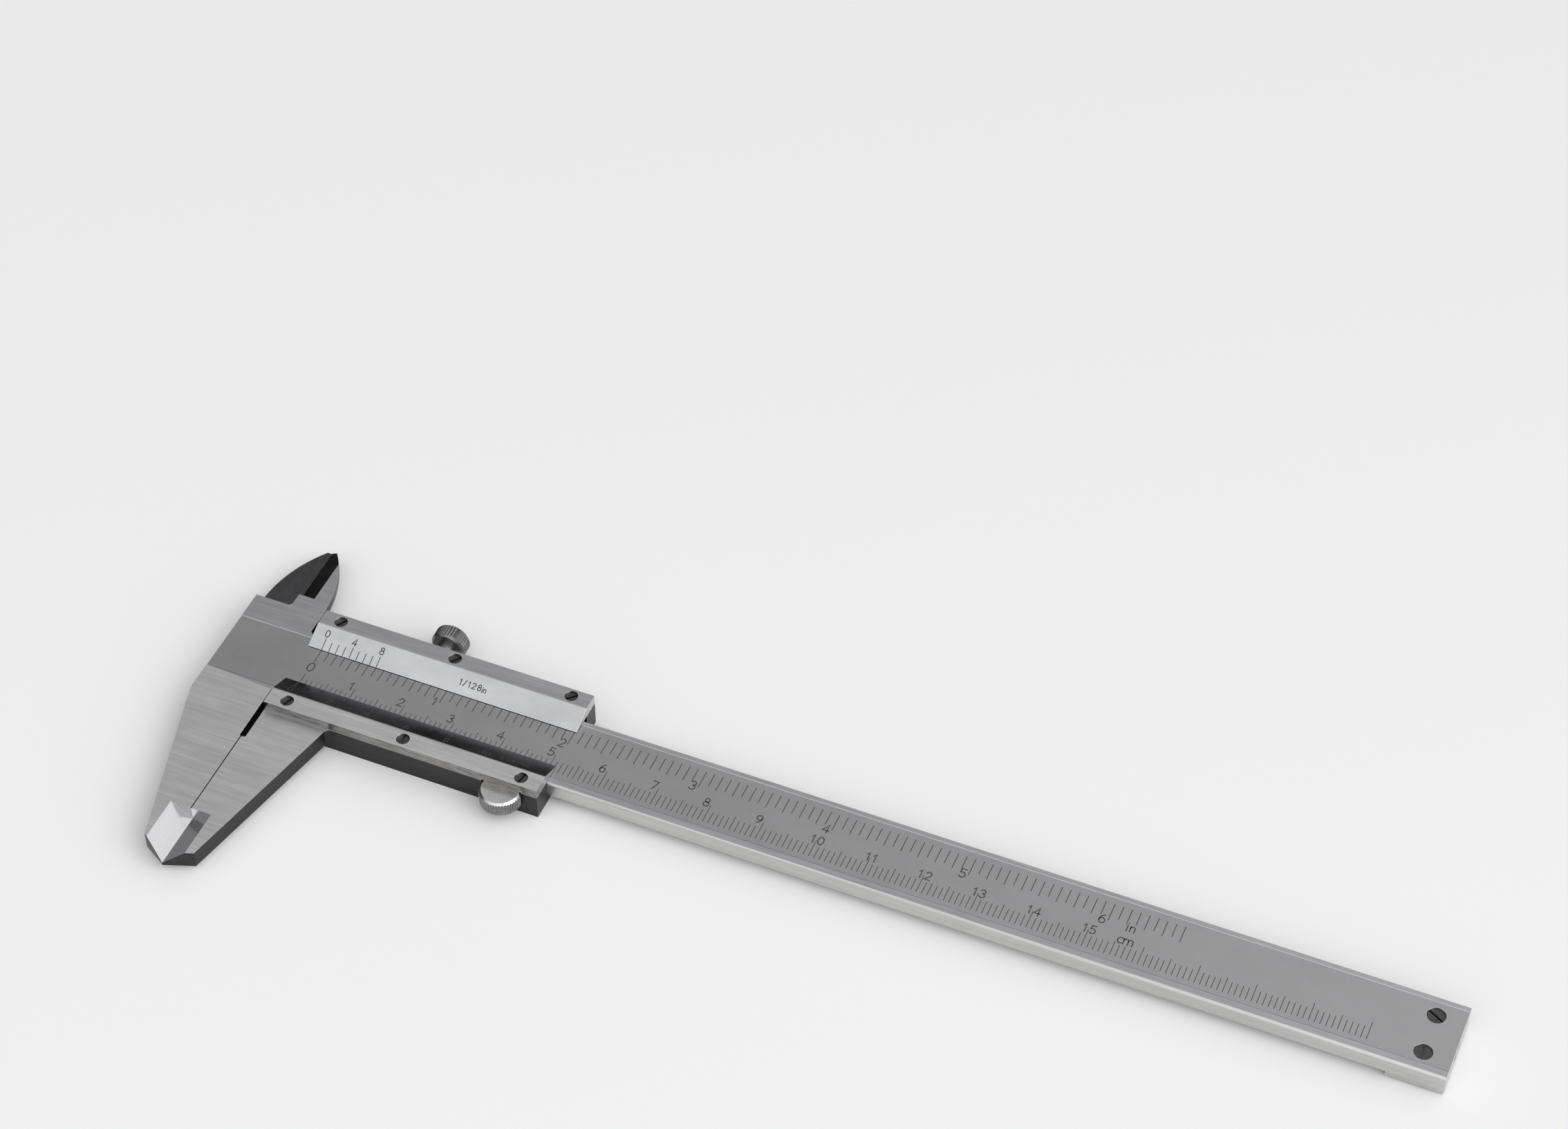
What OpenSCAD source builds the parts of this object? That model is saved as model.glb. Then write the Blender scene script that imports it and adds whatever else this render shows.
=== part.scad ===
// Vernier caliper, 150 mm, with inch and millimetre scales.
// It lies on its back: +X runs along the beam to its tail, +Y towards the inside jaws,
// +Z out of the scale face.  The modules are written in the measuring frame, where the
// closed jaws meet at x = 0, the beam is centred on y = 0 and its front face is z = 0.
// placed() then moves the origin to the middle of the footprint, on the resting plane.

/* [Beam] */
// Width of the beam
beam_w = 16; // [12:0.5:24]
// Thickness of the beam
beam_t = 3.5; // [3:0.1:5]
// Width of the raised rail along the inside-jaw edge
upper_rail_w = 1.2; // [0.8:0.1:2]
// Width of the raised rail along the outside-jaw edge
lower_rail_w = 1.65; // [1:0.05:3]
// How far the scale face lies below the rails, with walls sloped at 45 degrees
scale_recess = 0.1; // [0.05:0.01:0.3]
// Chamfer along the beam's long edges
beam_chamfer = 0.4; // [0.1:0.05:0.6]

/* [Head and outside jaws] */
// How far the head reaches behind the closed jaws
head_back = 14; // [10:0.5:20]
// How far the head stands above the beam's upper edge
head_rise = 4.4; // [3:0.1:8]
// From the beam's lower edge down to the outside jaw tips
jaw_depth = 40; // [30:1:60]
// How far the fixed jaw keeps its full width below the beam
jaw_shoulder = 4.3; // [2:0.1:8]
// Width of the fixed jaw at its outer tip corner
fixed_tip_w = 4.6; // [3:0.1:8]
// How far the fixed jaw's outer tip corner lies above the tip
fixed_tip_rise = 2.6; // [1:0.1:5]
// Width of the moving jaw at its outer tip corner
moving_tip_w = 5.5; // [3:0.1:8]
// How far the moving jaw's outer tip corner lies above the tip
moving_tip_rise = 2; // [1:0.1:5]
// Width of the moving jaw where it leaves the slider
moving_root_w = 13.4; // [9:0.1:20]
// Fillet between the moving jaw's rear edge and the slider
jaw_fillet = 1.2; // [0.5:0.1:3]
// Length of the knife-edge bevel at the jaw tips
knife_len = 10.8; // [6:0.1:20]
// Width of the knife-edge bevel on each jaw
knife_w = 4; // [2:0.1:4.5]
// Thickness left at the knife edge
knife_t = 0.6; // [0.3:0.05:1.5]
// Length of the relief slot between the jaws, below the beam
relief_len = 10.95; // [5:0.05:20]
// How far the relief slot runs up into the beam's edge
relief_rise = 0.8; // [0.2:0.05:1.2]
// Depth of the relief cut into the fixed jaw
relief_d = 0.3; // [0.1:0.05:1]
// Chamfer along the front edge of each outside jaw's measuring face
jaw_edge = 0.12; // [0.05:0.01:0.3]

/* [Inside jaws] */
// From the closed outside jaws back to the inside jaws' measuring edges
inside_back = 6.8; // [5:0.1:8]
// Height of the inside jaw tips above the beam's upper edge
inside_h = 20.4; // [15:0.1:28]
// Width of each inside jaw at its root
inside_w = 6.5; // [4:0.1:6.5]
// Radius of the curved back of each inside jaw
inside_r = 26; // [24:0.5:60]
// Height of the straight root below the inside jaw's bevel
inside_root_h = 3.1; // [1:0.1:6]
// Width of the bevel on each inside jaw
inside_bevel_w = 3.2; // [1:0.1:3.8]
// Thickness left at the inside jaws' measuring edge
inside_edge_t = 0.12; // [0.1:0.02:0.5]

/* [Slider] */
// Length of the slider along the beam
slider_len = 54; // [45:0.5:70]
// Gap between the measuring plane and the slider's end when closed
slider_gap = 0.85; // [0.5:0.05:2]
// How far the slider travels along the beam
travel = 153; // [100:1:160]
// Thickness of the slider's back plate
back_t = 1.5; // [1:0.1:3]
// Thickness of the wall below the beam
lower_wall_t = 3.85; // [3:0.05:6]
// Thickness of the wall above the gib
upper_wall_t = 3.4; // [2.8:0.1:6]
// Running clearance between the slider and the beam
slide_clear = 0.03; // [0.02:0.01:0.08]
// Gap between the fixed and the moving inside jaw
inside_gap = 0.06; // [0.04:0.02:0.2]

/* [Vernier plates] */
// Thickness of each vernier plate
plate_t = 2; // [1.6:0.1:3]
// Thickness left at a vernier plate's thin edge
plate_edge_t = 0.1; // [0.05:0.01:0.4]
// Width of the flat band of the inch plate
inch_band_w = 3.2; // [3:0.1:6]
// Width of the flat band of the metric plate
metric_band_w = 3.65; // [3:0.05:6]
// Width of the slanted face of each plate
slant_w = 4.4; // [2:0.1:5]
// Chamfer under the outer edge of each plate
plate_chamfer = 0.25; // [0.1:0.05:0.5]

/* [Plate screws] */
// Distance between neighbouring plate screws
plate_screw_pitch = 23.2; // [15:0.1:24]
// Head diameter of the plate screws
plate_head_d = 2.3; // [2:0.1:2.6]
// Thread diameter of the plate screws
plate_thread_d = 1.6; // [1.2:0.1:2]
// Length of the plate screws below their heads
plate_screw_len = 3.4; // [2:0.1:4]

/* [Gib and lock screw] */
// Thickness of the gib strip
gib_t = 0.6; // [0.4:0.05:1]
// Width of the gib strip
gib_w = 2.9; // [2:0.1:3.4]
// How much shorter than the slider the gib is, at each end
gib_inset = 3; // [1:0.5:8]
// Space between the gib strip and the slider's upper wall
gib_space = 0.27; // [0.15:0.01:0.6]
// Distance between the two gib set screws
gib_screw_pitch = 32; // [20:1:36]
// Thread diameter of the gib set screws
gib_screw_d = 2; // [1.6:0.1:2.5]
// From the slider's jaw end to the lock screw
lock_x = 22.75; // [18:0.25:26]
// Thread diameter of the lock screw
lock_thread_d = 2.5; // [2:0.1:3]
// Diameter of the lock screw's neck
lock_neck_d = 3.4; // [3:0.1:4]
// Length of the neck between slider and knob
lock_neck_len = 3; // [1:0.1:6]
// Diameter of the knurled knob
knob_d = 6.7; // [5:0.1:9]
// Length of the knurled knob
knob_len = 3.1; // [2:0.1:8]

/* [Thumb rest] */
// From the slider's jaw end to the middle of the thumb rest
thumb_x = 47.05; // [30:0.05:49]
// Diameter of the thumb rest
thumb_d = 7.8; // [6:0.1:10]
// Thickness of the thumb rest
thumb_t = 3.2; // [2:0.1:3.4]
// Metal left between the thumb rest's seat and the plate screws
thumb_wall = 0.25; // [0.1:0.05:0.5]

/* [Knurls] */
// Depth of the knurls
knurl_depth = 0.15; // [0.05:0.01:0.25]
// Distance between neighbouring knurl teeth
knurl_pitch = 0.55; // [0.4:0.05:1]
// Chamfer at the ends of the knurls
knurl_chamfer = 0.45; // [0.2:0.05:0.6]

/* [Depth rod] */
// Width of the depth rod
rod_w = 3; // [2:0.1:4]
// Thickness of the depth rod
rod_t = 1.5; // [1:0.1:2]
// Clearance between the rod and the sides of its groove
rod_clear = 0.08; // [0.05:0.01:0.1]
// From the slider's tail end to the rod's fixed end
rod_hold = 15; // [12:0.5:25]
// Distance between the two rivets that hold the rod
rivet_pitch = 7; // [5:0.5:12]
// Diameter of the rivets
rivet_d = 1.5; // [1:0.1:2]

/* [End stop] */
// Length of the end stop plate along the beam
stop_len = 10; // [6:0.5:16]
// Thickness of the end stop plate
stop_t = 1.2; // [0.8:0.1:1.4]
// How far the stop plate keeps in from the beam's edges
stop_inset = 0.4; // [0:0.1:2]
// Gap left between slider and stop at full travel
stop_clear = 0.15; // [0.05:0.05:1]
// Distance between the two end screws
end_screw_pitch = 8; // [7:0.1:9]
// Head diameter of the end screws
end_head_d = 3.1; // [2.6:0.1:3.4]
// Thread diameter of the end screws
end_thread_d = 2; // [1.6:0.1:2.2]

/* [Hidden] */
$fn = 64;

// Overlap that makes cuts run cleanly past a face
over = 1;
// Gap around a screw head in its counterbore
head_clear = 0.07;
// Gap around a turning or fixed thread in its hole
thread_clear = 0.03;
// How far screw heads lie below the face around them
head_sunk = 0.4;
// Height of the cheese heads
head_h = 0.75;
// Width and depth of the screwdriver slots
slot_w = 0.35;
slot_d = 0.4;
// How far the broken edge between a plate's flat band and slanted face reaches each way
plate_arris = 0.12;

// The beam's edges and the head
beam_top = beam_w / 2;
beam_bottom = -beam_w / 2;
head_top = beam_top + head_rise;
tip_y = beam_bottom - jaw_depth;
relief_end_y = beam_bottom - relief_len;
// The fixed inside jaw is the front half of the thickness, the moving one the rear half
fixed_half_z = -beam_t / 2 + inside_gap / 2;
moving_half_z = -beam_t / 2 - inside_gap / 2;
inside_tip_y = beam_top + inside_h;
inside_bevel_y = head_top + inside_root_h;
inside_fillet = 0.8;

// The slider's faces, then the end stop, which it meets at the end of its travel
slider_x0 = slider_gap;
slider_x1 = slider_gap + slider_len;
stop_x0 = slider_x1 + travel + stop_clear;
beam_len = stop_x0 + stop_len;
slider_mid_x = (slider_x0 + slider_x1) / 2;
back_z1 = -beam_t - slide_clear;
back_z0 = back_z1 - back_t;
lower_in_y = beam_bottom - slide_clear;
lower_out_y = lower_in_y - lower_wall_t;
gib_in_y = beam_top + slide_clear;
gib_out_y = gib_in_y + gib_t;
upper_in_y = gib_out_y + gib_space;
upper_out_y = upper_in_y + upper_wall_t;
seat_z = slide_clear;
plate_top_z = seat_z + plate_t;
// The gib, the lock screw and the set screws lie at the middle of the beam's thickness
side_z = -beam_t / 2;
gib_x0 = slider_x0 + gib_inset;
gib_len = slider_len - 2 * gib_inset;
gib_dimple = 0.3;
gib_screw_sunk = 0.2;
lock_tip_gap = 0.1;
lock_gap = 0.1;
lock_screw_x = slider_x0 + lock_x;

// Plate screws run down the middle of each flat band
inch_screw_y = upper_out_y - inch_band_w / 2;
metric_screw_y = lower_out_y + metric_band_w / 2;
plate_screw_x = [for (i = [-1 : 1]) slider_mid_x + i * plate_screw_pitch];
gib_screw_x = [for (i = [-1, 1]) slider_mid_x + i * gib_screw_pitch / 2];
plate_bore_depth = head_sunk + head_h;

// The thumb rest's axis lies just outside the slider's lower face
thumb_out = 0.3;
thumb_mid_x = slider_x0 + thumb_x;
thumb_mid_y = lower_out_y - thumb_out;
thumb_seat_y = metric_screw_y - plate_thread_d / 2 - thumb_wall;

// The depth rod slides in a groove along the beam's back
rod_z0 = back_z1;
rod_lift = 0.15;
rod_z1 = -beam_t + rod_lift + rod_t;
groove_w = rod_w + 2 * rod_clear;
groove_z = rod_z1 + rod_clear;
groove_x0 = slider_x1 - rod_hold - 2;
rod_x0 = slider_x1 - rod_hold;
rod_foot_len = rivet_pitch + 5;
rivet_x = [for (i = [-1, 1]) rod_x0 + rod_foot_len / 2 + i * rivet_pitch / 2];
rivet_sunk = 0.1;
rod_tip_len = 6;
rod_tip_w = 0.6 * rod_w;

// The end screws run through the middle of the stop plate
end_screw_x = beam_len - stop_len / 2;
end_screw_y = [for (i = [-1, 1]) i * end_screw_pitch / 2];

// Origin: middle of the footprint, on the resting plane
origin_x = (beam_len - head_back) / 2;
origin_y = (inside_tip_y + tip_y) / 2;
origin_z = back_z0;

module placed() {
    translate([-origin_x, -origin_y, -origin_z]) children();
}

// A profile in y and z, drawn out along x from x0 over the length len
module along_x(x0, len) {
    translate([x0, 0, 0]) rotate([90, 0, 90]) linear_extrude(len) children();
}

// A profile in x and z, drawn out along y from y0 to y1
module along_y(y0, y1) {
    translate([0, y1, 0]) rotate([90, 0, 0]) linear_extrude(y1 - y0) children();
}

// A profile in x and y, drawn out along z from z0 to z1
module along_z(z0, z1) {
    translate([0, 0, z0]) linear_extrude(z1 - z0) children();
}

// Puts an upright piece on an axis that leaves the slider's top edge towards +y
module on_top_edge(x, y) {
    translate([x, y, side_z]) rotate([-90, 0, 0]) children();
}

function arc(c, r, a0, a1, n = 12) =
    [for (i = [0 : n]) c + r * [cos(a0 + (a1 - a0) * i / n), sin(a0 + (a1 - a0) * i / n)]];

function mirrored_x(points, x) = [for (p = points) [2 * x - p[0], p[1]]];

function reversed(points) = [for (i = [len(points) - 1 : -1 : 0]) points[i]];

// One inside jaw from the beam's edge up to its tip, with the knife edge at -inside_back
inside_back_x = -inside_back + inside_w;
inside_tip_a = asin((inside_tip_y - head_top) / inside_r);
inside_outline = concat(
    [[inside_back_x, beam_top - over / 2]],
    arc([inside_back_x - inside_r, head_top], inside_r, 0, inside_tip_a),
    [[-inside_back, inside_tip_y]]
);

module slot(d, top_z) {
    translate([-d, -slot_w / 2, top_z - slot_d]) cube([2 * d, slot_w, slot_d + over]);
}

// A slotted cheese-head screw, standing on the underside of its head at z = 0
module slotted_screw(head_d, thread_d, len, turned) {
    difference() {
        union() {
            cylinder(d = head_d, h = head_h);
            translate([0, 0, -len]) cylinder(d = thread_d, h = len + over / 2);
        }
        rotate([0, 0, turned]) slot(head_d, head_h);
    }
}

// A straight-knurled disc, chamfered at both ends
module knurled_disc(d, h) {
    teeth = round(PI * d / knurl_pitch);
    // The chamfers run on past the tooth tips, so that nothing is tangent to them
    past = over / 4;
    intersection() {
        linear_extrude(h)
            polygon([for (i = [0 : 2 * teeth - 1])
                (d / 2 - (i % 2) * knurl_depth) * [cos(i * 180 / teeth), sin(i * 180 / teeth)]]);
        rotate_extrude()
            polygon([[0, 0], [d / 2 - knurl_chamfer, 0], [d / 2 + past, knurl_chamfer + past],
                [d / 2 + past, h - knurl_chamfer - past], [d / 2 - knurl_chamfer, h], [0, h]]);
    }
}

// The wedge cut away in front of an outside jaw's knife edge, on the side given by s
module knife_wedge(s) {
    along_y(tip_y - over, tip_y + knife_len)
        polygon([[0, -beam_t + knife_t], [s * knife_w, 0], [s * knife_w, over],
            [-s * over, over], [-s * over, -beam_t + knife_t]]);
}

// The chamfer along the front edge of an outside jaw's measuring face, on the side given by s
module jaw_edge_chamfer(s) {
    along_y(tip_y + knife_len - over, relief_end_y)
        polygon([[-s * over, -jaw_edge - over], [s * (jaw_edge + over), over], [-s * over, over]]);
}

module end_screw_holes(d, z0, z1) {
    for (y = end_screw_y) translate([end_screw_x, y, z0]) cylinder(d = d, h = z1 - z0);
}

module beam() {
    color("silver") placed() difference() {
        union() {
            along_x(0, beam_len)
                polygon([[beam_bottom + beam_chamfer, 0], [beam_bottom, -beam_chamfer],
                    [beam_bottom, beam_chamfer - beam_t], [beam_bottom + beam_chamfer, -beam_t],
                    [beam_top - beam_chamfer, -beam_t], [beam_top, beam_chamfer - beam_t],
                    [beam_top, -beam_chamfer], [beam_top - beam_chamfer, 0]]);
            along_z(-beam_t, 0)
                polygon([[0, beam_top], [-head_back, beam_top],
                    [-head_back, beam_bottom - jaw_shoulder],
                    [-fixed_tip_w, tip_y + fixed_tip_rise], [0, tip_y],
                    [0, relief_end_y - relief_d], [-relief_d, relief_end_y],
                    [-relief_d, beam_bottom], [0, beam_bottom]]);
            along_z(fixed_half_z, 0)
                polygon(concat(inside_outline,
                    arc([-inside_back - inside_fillet, head_top + inside_fillet],
                        inside_fillet, 0, -90, 6),
                    [[-head_back, head_top], [-head_back, beam_top - over / 2]]));
        }
        fixed_inside_bevel();
        knife_wedge(-1);
        jaw_edge_chamfer(-1);
        scale_face();
        relief_top();
        depth_groove();
        end_screw_holes(end_head_d + 2 * head_clear, -head_sunk - head_h, over);
        end_screw_holes(end_thread_d + 2 * thread_clear, -beam_t - over, 0);
    }
}

module fixed_inside_bevel() {
    along_y(inside_bevel_y, inside_tip_y + over)
        polygon([[-inside_back, fixed_half_z + inside_edge_t],
            [-inside_back + inside_bevel_w, 0], [-inside_back + inside_bevel_w, over],
            [-inside_back - over, over], [-inside_back - over, fixed_half_z + inside_edge_t]]);
}

// The recess between the rails; its outline runs up past the front face at the same slope
module scale_face() {
    low_y = beam_bottom + lower_rail_w;
    high_y = beam_top - upper_rail_w;
    along_x(-head_back - over, head_back + beam_len + 2 * over)
        polygon([[low_y + scale_recess, -scale_recess], [high_y - scale_recess, -scale_recess],
            [high_y + over, over], [low_y - over, over]]);
}

// The relief slot's upper end, cut into the beam between the fixed jaw and the slider
module relief_top() {
    along_z(-beam_t - over, over)
        polygon([[-relief_d, beam_bottom - over], [-relief_d, beam_bottom + relief_rise],
            [slider_x0, beam_bottom + relief_rise], [slider_x0, beam_bottom - over]]);
}

module depth_groove() {
    translate([groove_x0, -groove_w / 2, -beam_t - over])
        cube([beam_len - groove_x0 + over, groove_w, groove_z + beam_t + over]);
}

module slider_body() {
    color("silver") placed() difference() {
        union() {
            along_x(slider_x0, slider_len)
                polygon([[lower_out_y, seat_z], [lower_out_y, back_z0], [upper_out_y, back_z0],
                    [upper_out_y, seat_z], [upper_in_y, seat_z], [upper_in_y, back_z1],
                    [lower_in_y, back_z1], [lower_in_y, seat_z]]);
            along_z(-beam_t, 0) moving_outside_jaw();
            along_z(-beam_t, moving_half_z) moving_inside_jaw();
        }
        knife_wedge(1);
        jaw_edge_chamfer(1);
        moving_inside_bevel();
        for (x = plate_screw_x, y = [inch_screw_y, metric_screw_y])
            translate([x, y, seat_z - plate_screw_len - 0.2])
                cylinder(d = plate_thread_d, h = plate_screw_len + over);
        for (x = gib_screw_x)
            on_top_edge(x, upper_in_y - over) cylinder(d = gib_screw_d, h = upper_wall_t + 2 * over);
        on_top_edge(lock_screw_x, upper_in_y - over)
            cylinder(d = lock_thread_d + 2 * thread_clear, h = upper_wall_t + 2 * over);
        for (x = rivet_x)
            translate([x, 0, back_z0 - over]) cylinder(d = rivet_d, h = back_t + 2 * over);
        thumb_blank(0);
    }
}

module moving_outside_jaw() {
    wall_y = lower_out_y;
    rear_a = atan2(moving_root_w - moving_tip_w, wall_y - tip_y - moving_tip_rise);
    // The fillet's centre is a radius off both the wall and the slanted rear edge
    fillet_c = [moving_root_w + jaw_fillet * (1 - sin(rear_a)) / cos(rear_a), wall_y - jaw_fillet];
    polygon(concat(
        [[0, relief_end_y - relief_d], [0, tip_y], [moving_tip_w, tip_y + moving_tip_rise]],
        arc(fillet_c, jaw_fillet, 180 - rear_a, 90, 8),
        [[fillet_c[0], wall_y + over], [slider_x0, wall_y + over], [slider_x0, relief_end_y]]
    ));
}

module moving_inside_jaw() {
    outline = mirrored_x(inside_outline, -inside_back);
    clear_y = beam_top + slide_clear;
    intersection() {
        polygon(concat(reversed(outline), [[slider_x0 + over, beam_top - over / 2],
            [slider_x0 + over, head_top]],
            arc([-inside_back + inside_fillet, head_top + inside_fillet],
                inside_fillet, 270, 180, 6)));
        translate([-2 * head_back, clear_y])
            square([2 * head_back + slider_x0 + over, inside_tip_y]);
    }
}

module moving_inside_bevel() {
    along_y(inside_bevel_y, inside_tip_y + over)
        polygon([[-inside_back, moving_half_z - inside_edge_t],
            [-inside_back - inside_bevel_w, -beam_t], [-inside_back - inside_bevel_w, -beam_t - over],
            [-inside_back + over, -beam_t - over], [-inside_back + over, moving_half_z - inside_edge_t]]);
}

// A vernier plate: flat band outside, slanted face down to a thin edge over the scale.
// s is 1 for the inch plate above and -1 for the metric plate below.
module vernier_plate(s, out_y, band_w, screw_y) {
    band_y = out_y - s * band_w;
    edge_y = band_y - s * slant_w;
    slant = [edge_y - band_y, seat_z + plate_edge_t - plate_top_z];
    arris = [band_y, plate_top_z] + plate_arris * slant / norm(slant);
    difference() {
        along_x(slider_x0, slider_len)
            polygon([[out_y - s * plate_chamfer, seat_z], [out_y, seat_z + plate_chamfer],
                [out_y, plate_top_z], [band_y + s * plate_arris, plate_top_z], arris,
                [edge_y, seat_z + plate_edge_t], [edge_y, seat_z]]);
        for (x = plate_screw_x) translate([x, screw_y, 0]) {
            translate([0, 0, -over])
                cylinder(d = plate_thread_d + 2 * thread_clear, h = plate_t + 2 * over);
            translate([0, 0, plate_top_z - plate_bore_depth])
                cylinder(d = plate_head_d + 2 * head_clear, h = plate_bore_depth + over);
        }
    }
}

module inch_vernier_plate() {
    color("gainsboro") placed() vernier_plate(1, upper_out_y, inch_band_w, inch_screw_y);
}

module metric_vernier_plate() {
    color("gainsboro") placed() vernier_plate(-1, lower_out_y, metric_band_w, metric_screw_y);
}

module plate_screws(y, turned) {
    for (i = [0 : 2])
        translate([plate_screw_x[i], y, plate_top_z - plate_bore_depth])
            slotted_screw(plate_head_d, plate_thread_d,
                plate_t - plate_bore_depth + plate_screw_len, turned[i]);
}

module inch_plate_screws() {
    color("dimgray") placed() plate_screws(inch_screw_y, [57, 50, 43]);
}

module metric_plate_screws() {
    color("dimgray") placed() plate_screws(metric_screw_y, [70, 102, 79]);
}

module gib_strip() {
    color("goldenrod") placed() difference() {
        translate([gib_x0, gib_in_y, side_z - gib_w / 2]) cube([gib_len, gib_t, gib_w]);
        for (x = gib_screw_x) on_top_edge(x, gib_out_y - gib_dimple) gib_cone(over);
    }
}

// The cone of a set screw's point, continued past its base by extra
module gib_cone(extra) {
    point_d = 0.5;
    cylinder(d1 = point_d, d2 = point_d + 2 * (gib_dimple + extra), h = gib_dimple + extra);
}

module gib_set_screws() {
    cone_h = (gib_screw_d - 0.5) / 2 - gib_dimple;
    color("dimgray") placed() for (x = gib_screw_x)
        on_top_edge(x, gib_out_y - gib_dimple) difference() {
            union() {
                gib_cone(cone_h);
                translate([0, 0, gib_dimple + cone_h])
                    cylinder(d = gib_screw_d, h = gib_screw_top() - gib_dimple - cone_h);
            }
            rotate([0, 0, 35]) slot(gib_screw_d, gib_screw_top());
        }
}

// Height of a set screw's slotted end above its point
function gib_screw_top() = upper_out_y - gib_screw_sunk - gib_out_y + gib_dimple;

module lock_screw() {
    tip_y0 = gib_out_y + lock_tip_gap;
    neck_y = upper_out_y + lock_gap;
    color("lightgray") placed() union() {
        on_top_edge(lock_screw_x, tip_y0)
            cylinder(d = lock_thread_d, h = neck_y - tip_y0 + over / 2);
        on_top_edge(lock_screw_x, neck_y)
            cylinder(d = lock_neck_d, h = lock_neck_len + over / 2);
        on_top_edge(lock_screw_x, neck_y + lock_neck_len)
            knurled_disc(knob_d, knob_len);
    }
}

// The thumb rest's disc up to its flat seat; teeth is 1 with its knurl and 0 without
module thumb_blank(teeth) {
    intersection() {
        translate([thumb_mid_x, thumb_mid_y, -thumb_t])
            if (teeth == 1) knurled_disc(thumb_d, thumb_t);
            else cylinder(d = thumb_d, h = thumb_t + over);
        translate([thumb_mid_x - thumb_d, thumb_mid_y - thumb_d, -thumb_t - over])
            cube([2 * thumb_d, thumb_seat_y - thumb_mid_y + thumb_d, thumb_t + 3 * over]);
    }
}

module thumb_rest() {
    color("lightgray") placed() thumb_blank(1);
}

module depth_rod() {
    color("silver") placed() difference() {
        union() {
            translate([rod_x0, -rod_w / 2, -beam_t + rod_lift])
                cube([beam_len - rod_tip_len - rod_x0, rod_w, rod_t]);
            translate([rod_x0, -rod_w / 2, rod_z0]) cube([rod_foot_len, rod_w, rod_z1 - rod_z0]);
            translate([beam_len - rod_tip_len - over / 2, -rod_tip_w / 2, -beam_t + rod_lift])
                cube([rod_tip_len + over / 2, rod_tip_w, rod_t]);
        }
        for (x = rivet_x)
            translate([x, 0, rod_z0 - over]) cylinder(d = rivet_d, h = rod_z1 - rod_z0 + 2 * over);
    }
}

module depth_rod_rivets() {
    color("silver") placed() for (x = rivet_x)
        translate([x, 0, back_z0 + rivet_sunk])
            cylinder(d = rivet_d, h = rod_z1 - back_z0 - rivet_sunk);
}

module end_stop_plate() {
    color("silver") placed() difference() {
        translate([stop_x0, beam_bottom + stop_inset, -beam_t - stop_t])
            cube([stop_len, beam_w - 2 * stop_inset, stop_t]);
        end_screw_holes(end_thread_d, -beam_t - stop_t - over, 0);
    }
}

module end_stop_screws() {
    turned = [95, -29];
    color("dimgray") placed() for (i = [0 : 1])
        translate([end_screw_x, end_screw_y[i], -head_sunk - head_h])
            slotted_screw(end_head_d, end_thread_d,
                beam_t - head_sunk - head_h + stop_t, turned[i]);
}

beam();
slider_body();
inch_vernier_plate();
metric_vernier_plate();
inch_plate_screws();
metric_plate_screws();
gib_strip();
gib_set_screws();
lock_screw();
thumb_rest();
depth_rod();
depth_rod_rivets();
end_stop_plate();
end_stop_screws();
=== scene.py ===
"""Looks of the vernier caliper: finishes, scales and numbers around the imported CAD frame."""

import math

import bpy
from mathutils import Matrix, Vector


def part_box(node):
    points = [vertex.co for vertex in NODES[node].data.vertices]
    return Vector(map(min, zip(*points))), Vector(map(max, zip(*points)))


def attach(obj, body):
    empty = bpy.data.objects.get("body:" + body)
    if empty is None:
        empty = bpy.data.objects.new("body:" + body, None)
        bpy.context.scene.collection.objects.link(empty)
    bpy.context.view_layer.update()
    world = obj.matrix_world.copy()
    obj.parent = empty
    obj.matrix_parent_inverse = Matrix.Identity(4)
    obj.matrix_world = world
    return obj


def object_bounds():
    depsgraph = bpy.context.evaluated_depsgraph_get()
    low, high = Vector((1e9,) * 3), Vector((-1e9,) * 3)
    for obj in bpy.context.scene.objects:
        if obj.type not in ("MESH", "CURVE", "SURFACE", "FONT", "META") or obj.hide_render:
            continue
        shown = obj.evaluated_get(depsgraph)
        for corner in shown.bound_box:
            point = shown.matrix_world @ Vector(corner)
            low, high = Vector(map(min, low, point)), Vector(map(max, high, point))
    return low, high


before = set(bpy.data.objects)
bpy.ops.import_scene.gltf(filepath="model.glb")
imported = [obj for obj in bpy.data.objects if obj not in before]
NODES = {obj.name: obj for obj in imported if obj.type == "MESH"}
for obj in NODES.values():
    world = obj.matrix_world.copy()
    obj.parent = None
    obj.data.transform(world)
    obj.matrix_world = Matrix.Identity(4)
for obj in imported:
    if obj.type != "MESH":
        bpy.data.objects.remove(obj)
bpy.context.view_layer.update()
MM = 0.001

# ---------------------------------------------------------------- measuring frame
# Millimetres from the closed jaws (x), the beam's middle line (y) and the beam's front (z)
HEAD_BACK = 14.0  # from the jaws to the head's far end
SCALE_ZERO = 3.6  # x of both scales' zero
SCALE_Z = -0.1  # the scale's face, sunk into the beam
# Each vernier plate slants from a thin edge near the scale up to a flat band
EDGE_TOP_Z = 0.13
PLATE_TOP_Z = 2.03
INCH_EDGE_Y = 4.7
INCH_BAND_Y = 9.1
METRIC_EDGE_Y = -3.83
METRIC_BAND_Y = -8.23

beam_low, beam_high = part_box("beam")
stop_low, stop_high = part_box("end_stop_plate")
ORIGIN = Vector((beam_low.x + HEAD_BACK * MM, (stop_low.y + stop_high.y) / 2, beam_high.z))


def place(x, y, z):
    """A point given in the measuring frame, in the row frame's metres."""
    return ORIGIN + Vector((x, y, z)) * MM


# ---------------------------------------------------------------- camera
CAMERA_AT = (0.1508, -0.3603, 0.4924)
CAMERA_LOOKS = (-0.2676, 0.6352, -0.7245)
CAMERA_LENS = 83.0


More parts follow.
